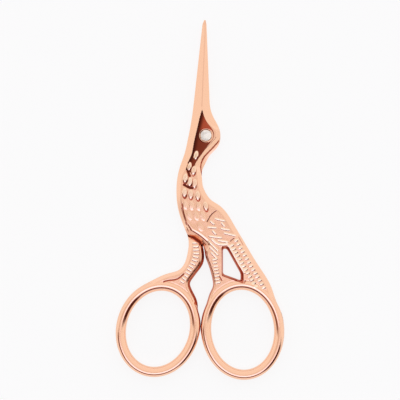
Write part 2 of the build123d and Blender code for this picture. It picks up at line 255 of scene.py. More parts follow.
# Borders
BORDER_WIDTH = 1.5
LEG_BORDER_WIDTH = 1.15
BELLY_BORDER_WIDTH = 2.6
BORDER_DROP = 1.0
BELLY_DROP = 1.42
HEAD_DROP = 1.15
THROAT_DROP = 1.5
THROAT_WIDTH = 1.3
THROAT_LINE = ((-11, -9, 0, 4), (-5.5, -5.0, -1.0, 0.5))
THROAT_SLOPE = 0.1
THROAT_TURN = 0.3
ROOT_DROP = 0.95
TIP_DROP = 0.25
FIELD_EDGE = 1.0
FIELD_SINK = 0.02
ROOT_BEND = 3.0            # half the height over which the blade starts to fall
# Places over which one border turns into the next
HEAD_HEIGHTS = (-13, -9)
LEG_DEPTHS, LEG_LEFT = (33, 36), (-5.5, -3.5)
BELLY_DEPTHS, BELLY_LEFT = (27, 31.5), (-3, -0.5)
THROAT_SPREAD, THROAT_DEPTHS = 0.3, (-4.5, -1.0)
# Steepness of a border from the outline, 0, to its inner edge, 1
RIM_STEEPNESS = 2.2
RIM_SHARE = 0.1
CREST_SHARE = 0.16
BELLY_STEEPNESS = (
    (0, 0.28, 0.31, 0.35, 0.38, 0.6, 0.63, 0.72, 0.75, 1),
    (0.78, 0.78, 0.35, 0.35, 0.78, 0.78, 0.42, 0.42, 0.2, 0.02),
)
# Steep walls instead of a border: distances from the edge and heights there from the body's top
KNEE_WALL = ((0, 0.85, 1.3, 1.6), (-1.5, -0.46, -0.24, 0.3))
THIGH_WALL = ((0, 0.45, 0.85, 1.0), (-1.2, -0.2, -0.03, 0.3))
WALL_BLEND = 0.08
LEG_DIP = 1.3
LEG_DIP_WIDTH = 0.8

# Finger rings
CONTACT_GROWTH = 0.125
CONTACT_TURN = 12          # degrees
ROD_CREST = 0.57
ROD_POWERS = (2.2, 2.45)
ROD_BLEND = 0.15
RIM_ROOM = 0.06
JOIN_TURN = 16             # degrees
JOIN_SPREAD = (0.02, 0.5)
SIDE_LAND = 0.12

# Mesh spacing
FINE = 0.05
ALONG = 0.17
ALONG_OUTER = 0.3
GRID = 0.18
OFFSETS = (0.03, 0.1, 0.2, 0.34, 0.52, 0.74, 0.98, 1.2, 1.35, 1.5, 1.65)
OUTER_OFFSETS = 5
CLIFF = 0.03
CLIFF_EVERY = 4            # points of a fine loop
CLIFF_TO_EDGE = 0.04
OFFSET_ERROR = 0.012
MARK_TURN = 0.16           # radians
MARK_STEP = 0.12
MARK_GAP = 0.06
MARK_TO_EDGE = 0.1
GRID_TO_EDGE = 0.6         # of the grid's spacing
GRID_TO_CLIFF = 0.08
GRID_TO_MARK = 0.09
SIDE_SHARES = (-0.5, -0.3, 0, 0.3, 0.5)   # of a line's width
END_SHARES = (0.3, 0.5)
OVAL_SCALES = (0.75, 0.9, 1.0, 1.12, 1.25)
BEAD_SCALES = (0.75, 1.0)
WELD = 1e-7
SLOPE_STEP = 0.01
RIM_STEP = 0.025
# Cosines between directions below which a corner is kept and a face or wall is shaded flat
CORNER_COSINE = 0.9
FLAT_COSINE = 0.64
WALL_COSINE = 0.8


def spot(across, along):
    """Place on the plan of a point given in shares."""
    return (across * BODY_WIDTH, along * (BLADE_LENGTH if along > 0 else EYE_TO_HOLE))


def spots(shares):
    return [spot(*share[:2]) for share in shares]


def resample(line, step):
    """Points about a step apart along a line, ends kept."""
    line = np.asarray(line, float)
    reach = np.concatenate([[0], np.cumsum(np.hypot(*np.diff(line, axis=0).T))])
    count = max(2, round(reach[-1] / step) + 1)
    places = np.linspace(0, reach[-1], count)
    return np.stack([np.interp(places, reach, line[:, axis]) for axis in (0, 1)], 1)


def smooth(points, step=FINE):
    """Points a step apart on a natural cubic spline through the given ones."""
    knots = np.asarray(points, float)
    spans = np.hypot(*np.diff(knots, axis=0).T)
    count = len(knots)
    matrix = np.eye(count)
    pull = np.zeros((count, 2))
    for i in range(1, count - 1):
        matrix[i, i - 1:i + 2] = spans[i - 1], 2 * (spans[i - 1] + spans[i]), spans[i]
        pull[i] = 6 * ((knots[i + 1] - knots[i]) / spans[i] - (knots[i] - knots[i - 1]) / spans[i - 1])
    bend = np.linalg.solve(matrix, pull)
    pieces = []
    for i, span in enumerate(spans):
        t = np.linspace(0, 1, max(3, int(span / step * 2)))[:, None]
        curve = (1 - t) * knots[i] + t * knots[i + 1]
        curve += span ** 2 / 6 * (((1 - t) ** 3 - (1 - t)) * bend[i] + (t ** 3 - t) * bend[i + 1])
        pieces.append(curve if i == 0 else curve[1:])
    return resample(np.concatenate(pieces), step)


def unit(vectors):
    return vectors / np.maximum(np.linalg.norm(vectors, axis=1), 1e-12)[:, None]


def directions(line, closed):
    """Unit directions along a line of points."""
    return unit(np.roll(line, -1, 0) - np.roll(line, 1, 0) if closed else np.gradient(line, axis=0))


def mix(a, b, share):
    return a + (b - a) * share


def to_left(ways):
    return np.stack([-ways[:, 1], ways[:, 0]], 1)


def oval_points(centre, across, along, lean, turns):
    """Points on a leaning oval of given half sizes, by their angle before it leans."""
    turn = math.radians(lean)
    across, along = across * np.cos(turns), along * np.sin(turns)
    return np.stack([centre[0] + across * math.cos(turn) - along * math.sin(turn),
                     centre[1] + across * math.sin(turn) + along * math.cos(turn)], 1)


def leaning(places, centre, lean):
    """Coordinates of places across and along the axes of a leaning oval."""
    turn = math.radians(lean)
    dx, dy = (places - centre).T
    return dx * math.cos(turn) + dy * math.sin(turn), -dx * math.sin(turn) + dy * math.cos(turn)


def point_tree(points):
    tree = KDTree(len(points))
    for i, (x, y) in enumerate(points):
        tree.insert((x, y, 0), i)
    tree.balance()
    return tree


def farther(tree, places, gap):
    """Which places lie farther than a gap from every point of a tree."""
    return np.array([tree.find((x, y, 0))[2] > gap for x, y in places])


def place_ring(hole_length, lean, drop, side):
    """Centre, hole length and lean of a finger ring, as in the CAD model."""
    turn = math.radians(lean)
    outer_length = hole_length / 2 + RING_ROD
    outer_width = HOLE_WIDTH / 2 + RING_ROD
    across = math.hypot(outer_length * math.sin(turn), outer_width * math.cos(turn))
    along = math.hypot(hole_length / 2 * math.cos(turn), HOLE_WIDTH / 2 * math.sin(turn))
    x = MEETING_SHARE * BODY_WIDTH + side * (RING_GAP / 2 + across)
    return x, -drop * EYE_TO_HOLE - along, hole_length, lean


FRONT_RING = place_ring(FRONT_HOLE_LENGTH, FRONT_RING_LEAN, 1, 1)
BACK_RING = place_ring(BACK_HOLE_LENGTH, BACK_RING_LEAN, BACK_DROP_SHARE, -1)
# Bearings, before the rings lean, at which each comes nearest the other, between which each
# joins the rest of its half, of the outline's points on each rod, and at which the steep wall
# of the thigh or the knee ends
FRONT_CONTACT = 174
BACK_CONTACT = 19.4
FRONT_JOIN = (30, 144)
BACK_JOIN = (38, 134)
FRONT_ROD = (144, 155, *range(162, 366, 6), 378, 390)
BACK_ROD = (134, 144, *range(155, 390, 6), 398)
THIGH_END = 176
KNEE_END = 380
ALL_ROUND = np.arange(0, 360, 0.25)


def ring_points(ring, bearings, growth):
    """Points on an oval around a ring's hole, by their angle from +X before the ring leans."""
    x, y, hole_length, lean = ring
    return oval_points((x, y), HOLE_WIDTH / 2 + growth, hole_length / 2 + growth, lean,
                       np.radians(bearings))


def rod_points(ring, bearings, contact):
    """Points on a ring's outer edge, which reaches a little farther where the rings meet."""
    apart = (np.asarray(bearings) - contact + 180) % 360 - 180
    growth = CONTACT_GROWTH * np.exp(-(apart / CONTACT_TURN) ** 2)
    return ring_points(ring, bearings, RING_ROD + growth)


def ring_bearings(ring, places):
    """Bearings of places about a ring, as ring_points takes them."""
    x, y, hole_length, lean = ring
    across, along = leaning(places, (x, y), lean)
    return np.degrees(np.arctan2(along / hole_length, across / HOLE_WIDTH)) % 360


def circle(radius):
    return oval_points((0, 0), radius, radius, 0, np.radians(np.arange(0, 360, 3)))


def joined(*lines):
    """One closed loop out of lines that follow each other."""
    return np.concatenate([line[:-1] for line in lines])


def blade_side(side, y):
    """Side of the blade at a height, 0 for left and 1 for right."""
    share = (y - BLADE_ROOT) / (SHOULDER_Y - BLADE_ROOT)
    return mix(ROOT_SIDES[side], SHOULDER_SIDES[side], share)


left_blend = [(blade_side(0, y), y) for y in BLEND_HEIGHTS]
right_blend = [(blade_side(1, y), y) for y in reversed(BLEND_HEIGHTS)]
tip_line = [
    right_blend[-1], (SHOULDER_SIDES[1], SHOULDER_Y), (TIP_SIDES[1], BLADE_LENGTH - TIP_CORNER[1]),
    (TIP_SIDES[1] - TIP_CORNER[0], BLADE_LENGTH), (TIP_SIDES[0] + TIP_CORNER[0], BLADE_LENGTH),
    (TIP_SIDES[0], BLADE_LENGTH - TIP_CORNER[1]), (SHOULDER_SIDES[0], SHOULDER_Y), left_blend[0],
]


def rounded(corners, radius):
    """Closed line through corners that are cut by short curves."""
    corners = np.asarray(corners, float)
    line = []
    for i, corner in enumerate(corners):
        sides = [corners[i - 1] - corner, corners[(i + 1) % len(corners)] - corner]
        start, end = (corner + side * min(radius / np.hypot(*side), CORNER_SHARE) for side in sides)
        for t in np.linspace(0, 1, CORNER_POINTS):
            line.append((1 - t) ** 2 * start + 2 * t * (1 - t) * corner + t ** 2 * end)
    return resample(np.concatenate([line, line[:1]]), FINE)[:-1]


def cut_near(line, place):
    """A line cut in two at its point nearest to a place."""
    index = np.argmin(np.hypot(*(line - place).T))
    return line[:index + 1], line[index:]


tip_sides = resample(tip_line, FINE)
breast_side = smooth([*left_blend, *spots(BREAST)])
belly_side = smooth(spots(BELLY))
thigh_side, tail_side = cut_near(
    smooth([*spots(FRONT_LEG), *rod_points(FRONT_RING, FRONT_ROD, FRONT_CONTACT), *spots(TAIL),
            *spots(FRONT_THROAT), *spots(CROWN), *right_blend]),
    ring_points(FRONT_RING, [THIGH_END], RING_ROD)[0])
shoulder_side, knee_side = cut_near(
    smooth([*left_blend, *spots(BREAST), *spots(BACK_LEG),
            *rod_points(BACK_RING, BACK_ROD, BACK_CONTACT), *spots(BACK_KNEE)]),
    ring_points(BACK_RING, [KNEE_END], RING_ROD)[0])
hidden_side = smooth([*spots(BACK_SIDE), *spots(BACK_THROAT), *spots(CROWN), *right_blend])
front_loop = joined(tip_sides, breast_side, belly_side, thigh_side, tail_side)
back_loop = joined(tip_sides, shoulder_side, knee_side, hidden_side)
panel_loop = joined(smooth(spots(PANEL_LEFT)), smooth(spots(PANEL_RIGHT)))
hole_top = rounded(spots(TAIL_HOLE), HOLE_TOP_CORNER)
hole_through = rounded(spots(THROUGH_HOLE), HOLE_CORNER)


class Distance:
    """Distance from places to the nearest of some lines, open or closed."""

    def __init__(self, lines, closed=True):
        starts, ends, before = [], [], []
        for line in lines:
            start = line if closed else line[:-1]
            ids = np.arange(len(start)) + sum(map(len, starts))
            before.append(np.roll(ids, 1) if closed else np.maximum(ids - 1, ids[0]))
            starts.append(start)
            ends.append(np.roll(line, -1, 0) if closed else line[1:])
        self.starts, self.ends, self.before = map(np.concatenate, (starts, ends, before))
        self.tree = point_tree(self.starts)

    def __call__(self, places):
        nearest = np.array([self.tree.find((x, y, 0))[1] for x, y in places])
        result = None
        for index in (nearest, self.before[nearest]):
            start, end = self.starts[index], self.ends[index]
            along = end - start
            share = ((places - start) * along).sum(1) / np.maximum((along ** 2).sum(1), 1e-12)
            foot = start + np.clip(share, 0, 1)[:, None] * along
            gap = np.hypot(*(places - foot).T)
            result = gap if result is None else np.minimum(result, gap)
        return result


def inside(loop, places):
    """Which places lie within a closed loop."""
    x, y = places[:, 0], places[:, 1]
    result = np.zeros(len(places), bool)
    ends = np.roll(loop, -1, 0)
    order = np.argsort(y, kind="stable")
    first, last = np.searchsorted(y[order], np.sort([loop[:, 1], ends[:, 1]], axis=0))
    for i in np.flatnonzero(first < last):
        hit = order[first[i]:last[i]]
        (x0, y0), (x1, y1) = loop[i], ends[i]
        result[hit] ^= x[hit] < x0 + (y[hit] - y0) / (y1 - y0) * (x1 - x0)
    return result


def ramp(value, low, high):
    """Smooth rise from 0 at low to 1 at high."""
    t = np.clip((value - low) / (high - low), 0, 1)
    return t * t * (3 - 2 * t)


def soft_max(a, b, width):
    near = np.maximum(width - np.abs(a - b), 0) / width
    return np.maximum(a, b) + near ** 2 * width / 4


def soft_min(a, b, width):
    return -soft_max(-a, -b, width)


def way_across(near, far):
    """Share of the way from one edge to another, by the distances to both."""
    return near / np.maximum(near + far, 1e-6)


# Rise of a border from the outline, 0, to its inner edge, 1: soft for the body, crisp for the
# head and the blades, and the belly's, which is steep with a streak, less steep and then
# rounded at the crest.
border_places = np.linspace(0, 1, 201)


def rise_table(steepness):
    rise = np.concatenate([[0], np.cumsum((steepness[1:] + steepness[:-1]) / 2)])
    return rise / rise[-1]


rim_steepness = 1 + RIM_STEEPNESS * np.clip(1 - border_places / RIM_SHARE, 0, 1) ** 2
crisp_rise = rise_table(rim_steepness)
soft_rise = rise_table(rim_steepness * np.clip((1 - border_places) / CREST_SHARE, 0, 1))
belly_rise = rise_table(np.interp(border_places, *BELLY_STEEPNESS))

blade_fall = (BODY_TOP - FRONT_BOTTOM - TIP_RIDGE) / (SHOULDER_Y - BLADE_ROOT)
drops = ([0, BLADE_ROOT, SHOULDER_Y, BLADE_LENGTH], [HEAD_DROP, ROOT_DROP, TIP_DROP, TIP_DROP / 2])
ridge_line = [
    (mix(*TIP_SIDES, TIP_RIDGE_SHARE), BLADE_LENGTH),
    (mix(*SHOULDER_SIDES, TIP_RIDGE_SHARE), SHOULDER_Y),
    (mix(*ROOT_SIDES, ROOT_RIDGE_SHARE), BLADE_ROOT + RIDGE_END), spot(*PANEL_LEFT[0]),
]
panel_distance = Distance([panel_loop])
ridge_distance = Distance([resample(ridge_line, FINE)], closed=False)
panel_left = smooth(spots(PANEL_LEFT))[::-1]

HALVES = {
    "front": {"ring": FRONT_RING, "contact": FRONT_CONTACT, "join": FRONT_JOIN,
              "outline": front_loop, "bore": SHANK_RADIUS + TURNING_CLEARANCE,
              "holes": [hole_through], "soft": [tip_sides, breast_side, belly_side, tail_side],
              "wall": thigh_side, "wall_shape": THIGH_WALL},
    "back": {"ring": BACK_RING, "contact": BACK_CONTACT, "join": BACK_JOIN,
             "outline": back_loop, "bore": SHANK_RADIUS,
             "holes": [], "soft": [tip_sides, shoulder_side, hidden_side],
             "wall": knee_side, "wall_shape": KNEE_WALL},
}
for half in HALVES.values():
    hole = ring_points(half["ring"], ALL_ROUND, 0)
    rod = rod_points(half["ring"], ALL_ROUND, half["contact"])
    half["ring_hole"], half["inner_rim"] = hole, Distance([hole])
    half["rod_oval"], half["outer_rim"] = rod, Distance([rod])
    half["loops"] = [half["outline"], hole, circle(half["bore"]), *half["holes"]]
    half["edge"] = Distance([half["outline"], hole])
    half["soft_edge"] = Distance(half["soft"], closed=False)
    half["wall_edge"] = Distance([half["wall"]], closed=False)
hole_top_distance = Distance([hole_top])
hole_through_distance = Distance([hole_through])


def oval_reach(places, centre, lean, length, width):
    """Square of the share of the way from an oval's centre to its edge."""
    across, along = leaning(places, centre, lean)
    return (across / (width / 2)) ** 2 + (along / (length / 2)) ** 2


def line_reach(places, line, width):
    """Square of the share of the way from a line of points to the edge of a width round it."""
    line = np.asarray(line)
    nearest = None
    for start, end in zip(line[:-1], line[1:]):
        along = end - start
        share = np.clip((places - start) @ along / (along @ along), 0, 1)
        gap = ((places - start - share[:, None] * along) ** 2).sum(1)
        nearest = gap if nearest is None else np.minimum(nearest, gap)
    return nearest / (width / 2) ** 2


def even_points(line, pitch):
    """Places and directions at an even pitch along a line."""
    line = resample(line, FINE)
    count = max(2, round(len(line) * FINE / pitch) + 1)
    picks = np.linspace(0, len(line) - 1, count).round().astype(int)
    return line[picks], directions(line, False)[picks]


def rib_bars(shares, pitch, lengths):
    """Ends of the bars across a leg, whose length changes evenly from first to last."""
    places, ways = even_points(smooth(spots(shares)), pitch)
    sides = to_left(ways) * np.linspace(*lengths, len(places))[:, None] / 2
    return list(zip(places - sides, places + sides))


front_ribs = rib_bars(FRONT_RIBS, FRONT_RIB_PITCH, FRONT_RIB_LENGTHS)
back_ribs = rib_bars(BACK_RIBS, BACK_RIB_PITCH, BACK_RIB_LENGTHS)
bead_places = [place for pair in BEADS for place in even_points(spots(pair), BEAD_PITCH)[0]]
wing_bars = [spots(pair) for pair in BARS]
crests = [resample(smooth(spots(line)), LINE_STEP) for line in CRESTS]
cuts = [(resample(smooth(spots(line)), LINE_STEP), *rest) for line, *rest in CUTS]
cuts.append((ridge_line[:3], *RIDGE_CUT))
belly_distance = Distance([belly_side], closed=False)


def border(places, name):
    """Height of a half's face inside its sloping border, and how far it is into its field."""
    half = HALVES[name]
    x, y = places.T
    edge = half["soft_edge"](places)
    headward = ramp(y, *HEAD_HEIGHTS)
    ridge_gap = np.minimum(panel_distance(places), ridge_distance(places))
    legward = ramp(-y, *LEG_DEPTHS) * ramp(-x, *LEG_LEFT)
    bellyward = ramp(-y, *BELLY_DEPTHS) * ramp(-x, *BELLY_LEFT) * (name == "front")
    width = mix(BORDER_WIDTH, LEG_BORDER_WIDTH, legward)
    width = mix(width, BELLY_BORDER_WIDTH, bellyward)
    throatward = ramp(x - np.interp(y, *THROAT_LINE), -THROAT_SPREAD, THROAT_SPREAD)
    throatward = throatward * ramp(-y, *THROAT_DEPTHS)
    span = edge + ridge_gap
    width = mix(width, mix(span, np.minimum(span, THROAT_WIDTH), throatward), headward)
    head_drop = mix(np.interp(y, *drops), THROAT_DROP, throatward)
    drop = mix(mix(BORDER_DROP, BELLY_DROP, bellyward), head_drop, headward)
    share = np.clip(edge / np.maximum(width, 1e-6), 0, 1)
    soft, belly, crisp = (np.interp(share, border_places, table)
                          for table in (soft_rise, belly_rise, crisp_rise))
    rise = mix(mix(soft, belly, bellyward), crisp, headward)
    field = ramp(edge - width, 0, FIELD_EDGE) * (1 - headward)
    beyond = np.clip(y - BLADE_ROOT + ROOT_BEND, 0, 2 * ROOT_BEND)
    fall = beyond ** 2 / (4 * ROOT_BEND) + np.maximum(y - BLADE_ROOT - ROOT_BEND, 0)
    z = BODY_TOP - blade_fall * fall - FIELD_SINK * field - drop * (1 - rise)
    wall = BODY_TOP + np.interp(half["wall_edge"](places), *half["wall_shape"])
    return soft_min(z, wall, WALL_BLEND), field


def carving(places, name):
    """Height of what is raised on a face or cut into it, and its painted highlight and painted shade.
    """
    height, light, dark = np.zeros((3, len(places)))
    for across, along, lean, rise, recess_shade in OVALS:
        centre = np.array(spot(across, along))
        reach = oval_reach(places, centre, lean, *OVAL_SIZE)
        height = np.maximum(height, rise * np.maximum(1 - reach ** 2, 0))
        # Painted highlight on the feather's top
        light = np.maximum(light, OVAL_LIGHT * rise * ramp(reach, *OVAL_TOP))
        # Painted shade in a crescent beside the feather, towards the lower right
        beside = oval_reach(places, centre + RECESS_SHIFT, lean, *OVAL_SIZE)
        dark = np.maximum(dark, recess_shade * ramp(beside, *RECESS_END) * ramp(reach, *RECESS_START))
    bars = [*wing_bars, *front_ribs] if name == "front" else back_ribs
    raised = [(line_reach(places, bar, BAR_WIDTH), BAR_RISE) for bar in bars]
    if name == "front":
        raised += [(oval_reach(places, bead, BEAD_LEAN, *BEAD_SIZE), BAR_RISE) for bead in bead_places]
        raised += [(line_reach(places, crest, CREST_WIDTH), CREST_RISE) for crest in crests]
    for reach, rise in raised:
        height = np.maximum(height, rise * np.maximum(1 - reach ** 2, 0))
        # Painted highlight on the tops of bars, ribs, beads and crests
        light = np.maximum(light, ramp(reach, *BAR_TOP))
    # Painted shade along each cut line
    for line, width, depth, shade in cuts:
        reach = line_reach(places, line, width)
        height = height - depth * np.maximum(1 - reach, 0)
        dark = np.maximum(dark, shade * ramp(reach, *CUT_FLOOR))
    return height, light, dark


def past_panel_left(places):
    """How far to the right of the panel's left side places lie."""
    return places[:, 0] - np.interp(places[:, 1], panel_left[:, 1], panel_left[:, 0])


def with_rod(places, half, z, edge):
    """Heights z with the rounded rod of a half's ring, which runs into the plate where they join."""
    inner, outer = half["inner_rim"](places), half["outer_rim"](places)
    in_rod = inside(half["rod_oval"], places) | (outer < RIM_ROOM)
    in_rod &= ~inside(half["ring_hole"], places) | (inner < RIM_ROOM)
    share = way_across(inner, outer) - ROD_CREST
    place = np.where(in_rod, share / np.where(share < 0, ROD_CREST, 1 - ROD_CREST), 1)
    bow = np.sqrt(np.maximum(1 - np.abs(place) ** np.where(share < 0, *ROD_POWERS), 0))
    rod = THICKNESS / 2 + SIDE_LAND + (THICKNESS / 2 - SIDE_LAND) * bow
    spare = np.where(in_rod, edge - np.minimum(inner, outer), 1)
    bearings = ring_bearings(half["ring"], places)
    first, last = half["join"]
    joins = ramp(bearings, first - JOIN_TURN, first) * ramp(-bearings, -last - JOIN_TURN, -last)
    beside = np.maximum(ramp(spare, *JOIN_SPREAD), joins * (share > 0))
    plate = mix(THICKNESS / 2, z, beside)
    joint = np.where(beside > 0, soft_max(rod, plate, ROD_BLEND), rod)
    return np.where(in_rod, joint, z)


def relief(places, name):
    """Height of a half's outer face, as if it lay on top."""
    half = HALVES[name]
    edge = half["edge"](places)
    across = np.clip(past_panel_left(places), 0, PANEL_WIDTH)
    floor = BODY_TOP - PANEL_DEPTH + PANEL_RISE * across - PANEL_BEND * across ** 2
    z = np.where(inside(panel_loop, places), floor, border(places, name)[0])
    if name == "front":
        share = way_across(hole_through_distance(places), hole_top_distance(places))
        draft = mix(THICKNESS / 2 + SIDE_LAND, BODY_TOP - HOLE_TOP_DEPTH, share ** HOLE_DRAFT)
        z = np.where(inside(hole_top, places), np.minimum(z, draft), z)
    z = z + carving(places, name)[0] * ramp(edge, *RELIEF_EDGE)
    z = with_rod(places, half, soft_min(z, THICKNESS - TOP_ROOM, TOP_BLEND), edge)

    radius = np.hypot(*places.T)
    middle, half_width = (RIM_INNER + RIM_OUTER) / 2, (RIM_OUTER - RIM_INNER) / 2
    rim_place = np.clip(np.abs(radius - middle) / half_width, 0, 1)
    rim = BODY_TOP - EYE_RIM_FOOT + EYE_RIM_HEIGHT * (1 - rim_place ** 4)
    z = np.where(radius < RIM_OUTER, np.maximum(z, rim), z)
    pocket = POCKET_FLOOR if name == "front" else BACK_POCKET_FLOOR
    return np.where(radius < RIM_INNER, pocket, z)


# The two halves lie on each other in these rooms, and each has its full thickness elsewhere
front_edge = Distance([front_loop])
leg_x, leg_y = spot(*FRONT_LEG[0])
front_room_line = [
    (FAR, spot(*FRONT_STEP[0])[1]), *spots(FRONT_STEP),
    (leg_x + STEP_EDGE, leg_y - STEP_EDGE), (-FAR, leg_y - STEP_EDGE),
]
belly = [(x, y - STEP_CLEARANCE) for x, y in spots(BELLY)]
back_room_line = [(-FAR, belly[0][1]), *belly, (FAR, belly[-1][1])]
front_room = np.array([*front_room_line, (-FAR, FAR), (FAR, FAR)])
back_room = np.array([*back_room_line, (FAR, FAR), (-FAR, FAR)])


def past_front(places):
    """How far beyond the front half's outline places lie, 0 within it."""
    return np.where(inside(front_loop, places), 0, front_edge(places))


def sheets(places, name):
    """Heights of the upper and the lower sheet of a half."""
    outer = relief(places, name)
    if name == "front":
        return outer, np.where(inside(front_room, places), FRONT_BOTTOM, THICKNESS - outer)
    beyond = past_front(places)
    inner = BACK_TOP - THROAT_SLOPE * (beyond - THROAT_TURN * (1 - np.exp(-beyond / THROAT_TURN)))
    dip = LEG_DIP * ramp(belly_distance(places), LEG_DIP_WIDTH, 0)
    return np.where(inside(back_room, places), inner, outer - dip), THICKNESS - outer


def material_side(loop, step, solid):
    """Points along a loop and the directions into the metal there."""
    line = resample(np.concatenate([loop, loop[:1]]), step)[:-1]
    normals = to_left(directions(line, True))
    return line, normals if solid(line[:1] + normals[:1] * FINE)[0] else -normals


def corners_kept(loop, step):
    """Closed loop at a wider step, with its sharp corners kept."""
    before = loop - np.roll(loop, 1, 0)
    after = np.roll(loop, -1, 0) - loop
    cosines = (before * after).sum(1) / (np.hypot(*before.T) * np.hypot(*after.T))
    corners = np.flatnonzero(cosines < CORNER_COSINE)
    if not len(corners):
        return resample(np.concatenate([loop, loop[:1]]), step)[:-1]
    ends = [*corners[1:], corners[0] + len(loop)]
    return joined(*(resample(loop[np.arange(start, end + 1) % len(loop)], step)
                    for start, end in zip(corners, ends)))


def cliff_lines(name):
    """Lines where a sheet steps up or down, and whether each is closed."""
    room = front_room_line if name == "front" else back_room_line
    lines = [(resample(room, ALONG), False), (panel_loop[::CLIFF_EVERY], True),
             (circle(RIM_INNER), True), (circle(RIM_OUTER), True)]
    if name == "front":
        lines.append((hole_top[::CLIFF_EVERY], True))
    return lines


def carving_points(name):
    """Points round each raised and cut shape, so that the triangles follow it."""
    points = []
    turns = np.arange(0, 2 * math.pi, MARK_TURN)

    def add_ovals(centre, lean, length, width, scales):
        for scale in scales:
            points.append(oval_points(centre, width / 2 * scale, length / 2 * scale, lean, turns))

    def add_sides(line, width):
        line = resample(line, MARK_STEP)
        ways = directions(line, False)
        for side in SIDE_SHARES:
            points.append(line + side * width * to_left(ways))
        for end, way in ((line[0], -ways[0]), (line[-1], ways[-1])):
            points.append(np.array([end + way * width * reach for reach in END_SHARES]))

    for across, along, lean, *_ in OVALS:
        add_ovals(spot(across, along), lean, *OVAL_SIZE, OVAL_SCALES)
    for bar in front_ribs if name == "front" else back_ribs:
        add_sides(bar, BAR_WIDTH)
    for line, width, *_ in cuts:
        add_sides(line, width)
    if name == "front":
        for bar in wing_bars:
            add_sides(bar, BAR_WIDTH)
        for crest in crests:
            add_sides(crest, CREST_WIDTH)
        for place in bead_places:
            add_ovals(place, BEAD_LEAN, *BEAD_SIZE, BEAD_SCALES)
    points = np.concatenate(points)
    _, kept = np.unique(np.round(points / MARK_GAP), axis=0, return_index=True)
    return points[np.sort(kept)]


def build_plan(name):
    """Places and triangles of a half's plan."""
    half = HALVES[name]
    loops = half["loops"]
    whole = Distance(loops)

    def solid(places):
        result = inside(loops[0], places)
        for loop in loops[1:]:
            result &= ~inside(loop, places)
        return result

    rims = [corners_kept(loop, ALONG) for loop in loops]
    edges = []
    for rim in rims:
        ids = np.arange(len(rim)) + len(edges)
        edges.extend(zip(ids, np.roll(ids, -1)))

    cliffs = []
    for line, closed in cliff_lines(name):
        for side in (-CLIFF, CLIFF):
            shifted = line + side * to_left(directions(line, closed))
            shifted = shifted[solid(shifted)]
            cliffs.append(shifted[whole(shifted) > CLIFF_TO_EDGE])
    cliffs = np.concatenate(cliffs)
    cliff_tree = point_tree(cliffs)
    marks = carving_points(name)
    marks = marks[solid(marks)]
    marks = marks[(whole(marks) > MARK_TO_EDGE) & farther(cliff_tree, marks, MARK_GAP)]
    points = [*rims, cliffs, marks]
    for k, offset in enumerate(OFFSETS):
        step = ALONG_OUTER if k < OUTER_OFFSETS else ALONG
        for loop in loops:
            line, normals = material_side(loop, step, solid)
            shifted = line + offset * normals
            shifted = shifted[solid(shifted)]
            shifted = shifted[np.abs(whole(shifted) - offset) < OFFSET_ERROR]
            if len(shifted):
                points.append(shifted[farther(cliff_tree, shifted, MARK_GAP)])
    low, high = loops[0].min(0), loops[0].max(0)
    rows = np.arange(low[1], high[1], GRID * math.sqrt(0.75))
    grid = np.array([(x, y) for row, y in enumerate(rows)
                     for x in np.arange(low[0] + row % 2 * GRID / 2, high[0], GRID)])
    grid = grid[solid(grid)]
    grid = grid[whole(grid) > OFFSETS[-1] + GRID * GRID_TO_EDGE]
    grid = grid[farther(cliff_tree, grid, GRID_TO_CLIFF)]
    points.append(grid[farther(point_tree(marks), grid, GRID_TO_MARK)])
    points = np.concatenate(points)
    result = delaunay_2d_cdt([Vector(p) for p in points.tolist()], edges, [], 0, WELD)
    places = np.array([tuple(v) for v in result[0]])
    triangles = np.array(result[2])
    middles = places[triangles].mean(1)
    return places, triangles[solid(middles)]


def slopes(places, name):
    """Slopes of both sheets, from heights a little to each side."""
    results = []
    for shift in np.eye(2) * SLOPE_STEP:
        ahead, behind = sheets(places + shift, name), sheets(places - shift, name)
        results.append([(a - b) / (2 * SLOPE_STEP) for a, b in zip(ahead, behind)])
    return results


def clean_plan(name):
    """Used places, triangles that face up and rim edges of a half's plan."""
    places, triangles = build_plan(name)
    used = np.unique(triangles)
    order = np.full(len(places), -1)
    order[used] = np.arange(len(used))
    places, triangles = places[used], order[triangles]
    a, b, c = (places[triangles[:, k]] for k in range(3))
    turned = np.cross(b - a, c - a) < 0
    triangles[turned] = triangles[turned][:, ::-1]
    ends = triangles[:, [0, 1, 1, 2, 2, 0]].reshape(-1, 2)
    _, first, uses = np.unique(np.sort(ends, 1), axis=0, return_index=True, return_counts=True)
    return places, triangles, ends[first[uses == 1]]


